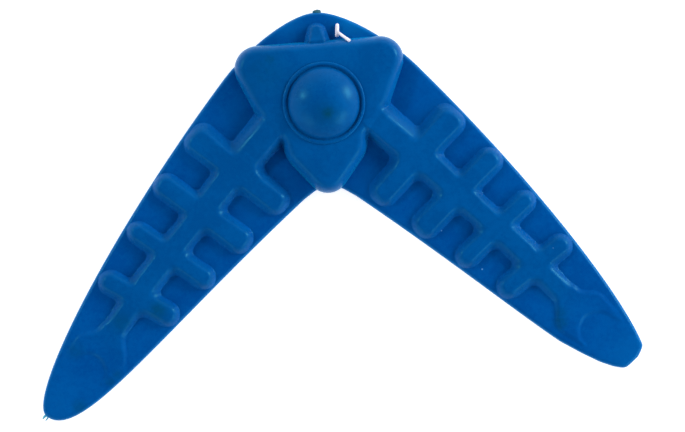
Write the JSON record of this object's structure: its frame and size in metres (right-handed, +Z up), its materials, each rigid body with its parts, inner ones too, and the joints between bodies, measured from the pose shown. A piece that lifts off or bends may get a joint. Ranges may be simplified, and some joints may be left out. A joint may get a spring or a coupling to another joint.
{
  "type": "moulded rubber boomerang",
  "caption": "V-shaped moulded throwing toy with ribbed wings, forked tails, a lobed boss at the elbow and a round dome; flat back.",
  "frame": {"origin": "centre of the three-lobed boss, on the flat back face that the toy lies on", "axes": "+X from wing tip to wing tip, +Y from the inner elbow out to its apex, +Z up through the dome"},
  "size_m": [0.3027, 0.1948, 0.0225],
  "materials": {
    "blue_rubber": "satin moulded rubber, strong mid blue",
    "torn_rubber": "rough torn rubber, dark teal blue",
    "thin_rubber": "thin translucent flash, light teal blue",
    "white_nylon": "milky white nylon with a faint lavender tint"
  },
  "bodies": {
    "root": {"blade": "blue_rubber", "left_fishbone": "blue_rubber", "right_fishbone": "blue_rubber", "left_tail_fin": "blue_rubber", "right_tail_fin": "blue_rubber", "boss": "blue_rubber", "dome_ring": "blue_rubber", "dome": "blue_rubber", "runner_nub": "blue_rubber", "gate_stub": "torn_rubber", "tip_flash": "thin_rubber", "tag_pin": "white_nylon"}
  },
  "joints": []
}
